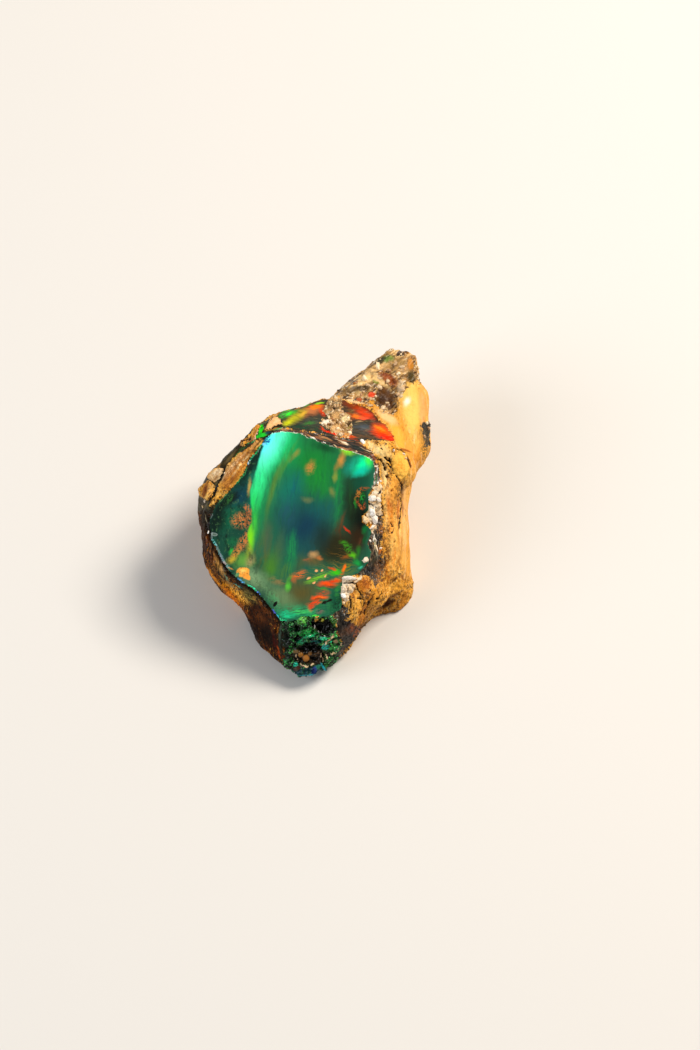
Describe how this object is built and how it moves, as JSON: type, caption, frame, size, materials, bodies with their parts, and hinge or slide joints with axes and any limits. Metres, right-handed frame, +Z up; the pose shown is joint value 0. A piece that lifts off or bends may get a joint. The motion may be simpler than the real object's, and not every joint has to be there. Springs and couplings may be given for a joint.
{
  "type": "rough opal",
  "caption": "Irregular opal nodule in an ochre rind, with a flat polished window on one face, a tapering horn, a short knobbly nub and a flat broken underside it rests on.",
  "frame": {"origin": "middle of the stone's bounding box, on the surface it rests on", "axes": "+Z up as the stone rests, -Y the side the polished window leans towards, +Y the horn's end, +X the side with the thickest rind"},
  "size_m": [0.028, 0.0396, 0.019],
  "materials": {
    "opal_in_rind": "matte"
  },
  "bodies": {
    "root": {"rough_opal": "opal_in_rind"}
  },
  "joints": []
}
